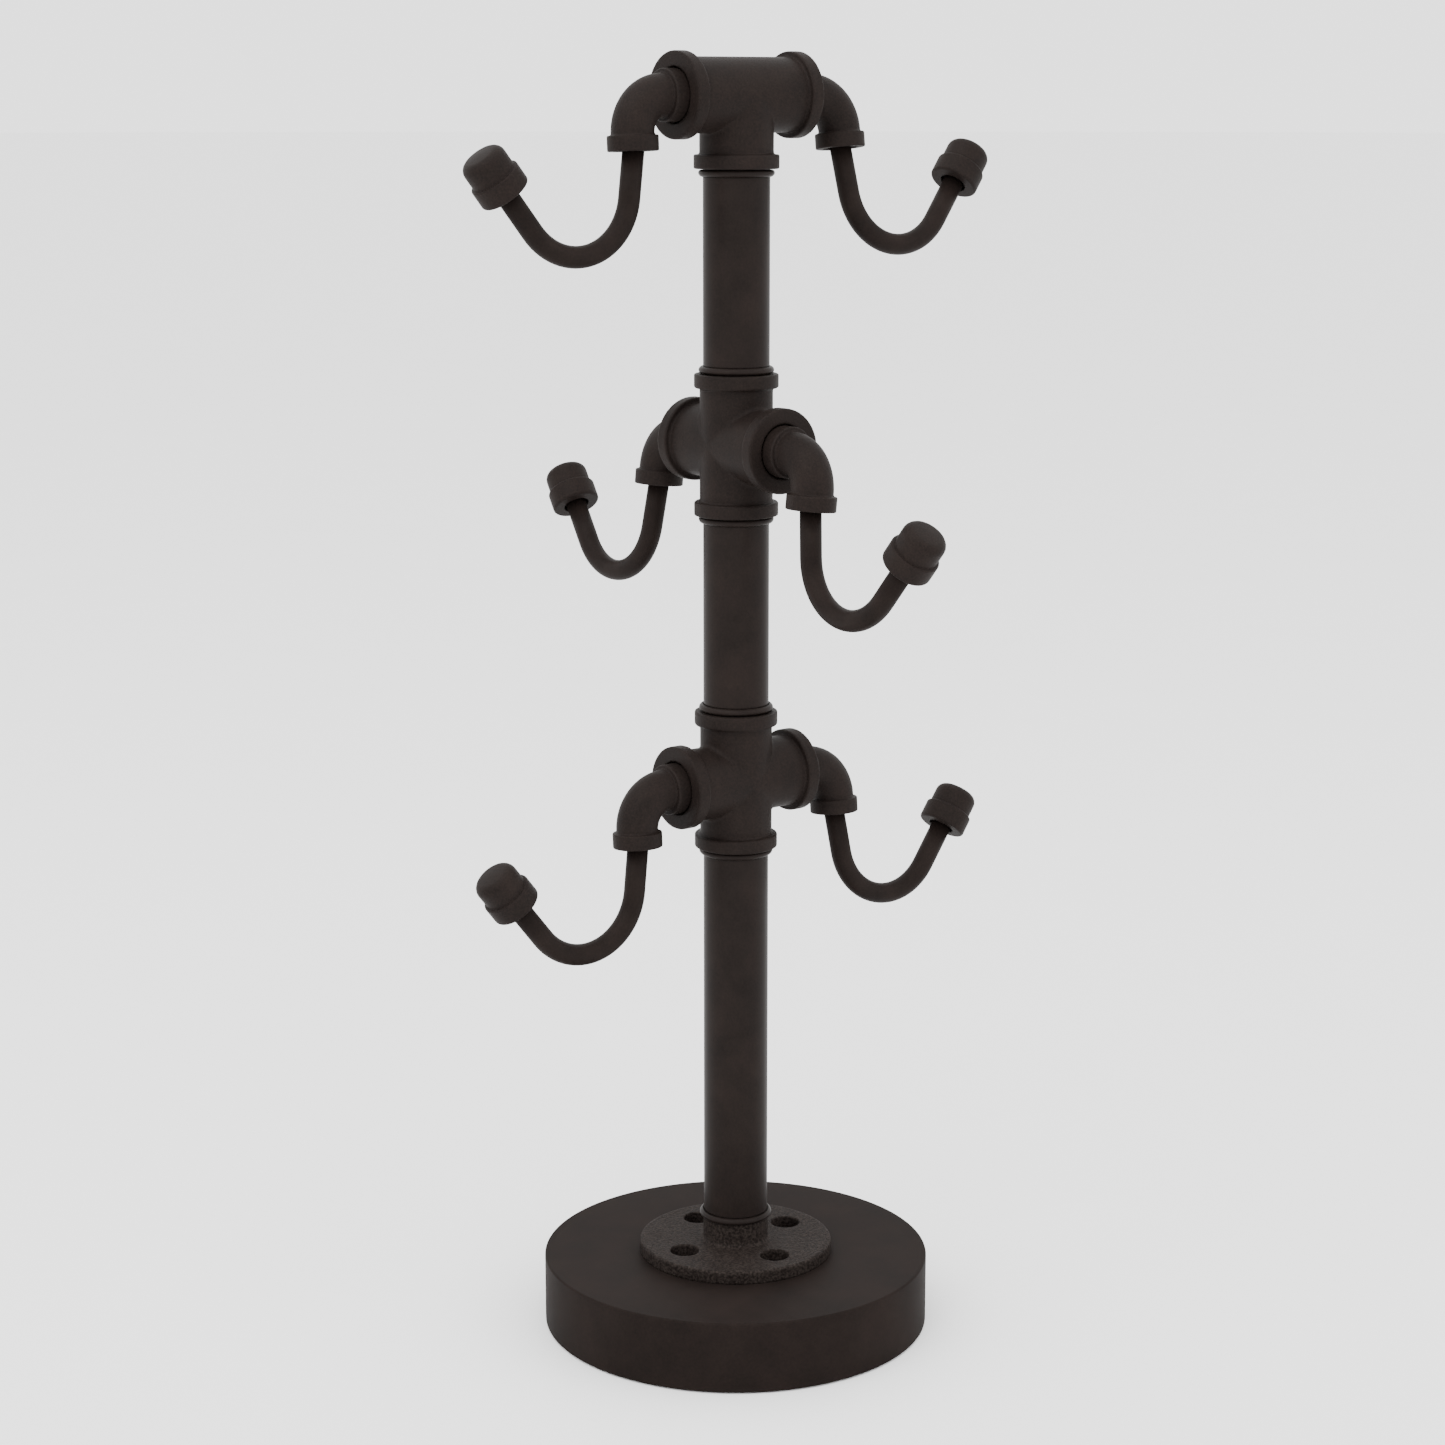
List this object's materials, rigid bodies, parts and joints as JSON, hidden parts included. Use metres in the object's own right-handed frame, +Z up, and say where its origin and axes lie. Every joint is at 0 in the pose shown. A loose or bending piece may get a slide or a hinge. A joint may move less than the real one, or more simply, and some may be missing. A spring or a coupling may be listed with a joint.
{
  "type": "mug tree",
  "caption": "Tabletop mug tree of pipe fittings: a round base, a pole with cross and tee fittings, and J-shaped hooks that turn in their ports.",
  "frame": {"origin": "on the pole's axis at the underside of the base pad", "axes": "+Z up the pole; the top and lower arms point along -X and +X, the middle arms along -Y and +Y"},
  "size_m": [0.2014, 0.2014, 0.4203],
  "materials": {
    "base_finish": "satin dark bronze coat on a heavy disc",
    "flange_finish": "dark bronze coat on a rough casting",
    "pipe_finish": "satin dark bronze coat on drawn pipe",
    "bead_finish": "satin dark bronze coat",
    "fitting_finish": "dark bronze coat with a fine cast grain",
    "elbow_finish": "dark bronze coat with a fine cast grain",
    "rod_finish": "satin dark bronze coat on round rod",
    "cap_finish": "dark bronze coat with a fine cast grain",
    "bushing": "dark coat, in shadow inside the fittings",
    "plain_steel": "zinc plated",
    "pad": "matte non-slip sheet"
  },
  "bodies": {
    "stand": {"base_disc": "base_finish", "base_pad": "pad", "floor_flange": "flange_finish", "base_washer": "plain_steel", "base_bolt": "plain_steel", "foot_plug": "plain_steel", "pole_lower": "pipe_finish", "pole_middle": "pipe_finish", "pole_upper": "pipe_finish", "bead_foot": "bead_finish", "bead_lower_cross_bottom": "bead_finish", "bead_lower_cross_top": "bead_finish", "bead_middle_cross_bottom": "bead_finish", "bead_middle_cross_top": "bead_finish", "bead_tee": "bead_finish", "cross_lower": "fitting_finish", "cross_middle": "fitting_finish", "tee_top": "fitting_finish", "port_bushing_top_left": "bushing", "port_bushing_top_right": "bushing", "port_bushing_middle_front": "bushing", "port_bushing_middle_back": "bushing", "port_bushing_lower_left": "bushing", "port_bushing_lower_right": "bushing"},
    "hook_top_left": {"elbow_top_left": "elbow_finish", "rod_bushing_top_left": "bushing", "hook_rod_top_left": "rod_finish", "end_cap_top_left": "cap_finish", "cap_bushing_top_left": "bushing"},
    "hook_top_right": {"elbow_top_right": "elbow_finish", "rod_bushing_top_right": "bushing", "hook_rod_top_right": "rod_finish", "end_cap_top_right": "cap_finish", "cap_bushing_top_right": "bushing"},
    "hook_middle_front": {"elbow_middle_front": "elbow_finish", "rod_bushing_middle_front": "bushing", "hook_rod_middle_front": "rod_finish", "end_cap_middle_front": "cap_finish", "cap_bushing_middle_front": "bushing"},
    "hook_middle_back": {"elbow_middle_back": "elbow_finish", "rod_bushing_middle_back": "bushing", "hook_rod_middle_back": "rod_finish", "end_cap_middle_back": "cap_finish", "cap_bushing_middle_back": "bushing"},
    "hook_lower_left": {"elbow_lower_left": "elbow_finish", "rod_bushing_lower_left": "bushing", "hook_rod_lower_left": "rod_finish", "end_cap_lower_left": "cap_finish", "cap_bushing_lower_left": "bushing"},
    "hook_lower_right": {"elbow_lower_right": "elbow_finish", "rod_bushing_lower_right": "bushing", "hook_rod_lower_right": "rod_finish", "end_cap_lower_right": "cap_finish", "cap_bushing_lower_right": "bushing"}
  },
  "joints": [
    {"name": "turn_top_left", "type": "hinge", "parent": "stand", "child": "hook_top_left", "pos_m": [-0.017, 0, 0.4068], "axis": [-1, 0, 0], "range_deg": [-33, 27]},
    {"name": "turn_top_right", "type": "hinge", "parent": "stand", "child": "hook_top_right", "pos_m": [0.017, 0, 0.4068], "axis": [1, 0, 0], "range_deg": [-23, 37]},
    {"name": "turn_middle_front", "type": "hinge", "parent": "stand", "child": "hook_middle_front", "pos_m": [0, -0.017, 0.29715], "axis": [0, -1, 0], "range_deg": [-24, 36]},
    {"name": "turn_middle_back", "type": "hinge", "parent": "stand", "child": "hook_middle_back", "pos_m": [0, 0.017, 0.29715], "axis": [0, 1, 0], "range_deg": [-35, 25]},
    {"name": "turn_lower_left", "type": "hinge", "parent": "stand", "child": "hook_lower_left", "pos_m": [-0.017, 0, 0.1875], "axis": [-1, 0, 0], "range_deg": [-34, 26]},
    {"name": "turn_lower_right", "type": "hinge", "parent": "stand", "child": "hook_lower_right", "pos_m": [0.017, 0, 0.1875], "axis": [1, 0, 0], "range_deg": [-25, 35]}
  ]
}
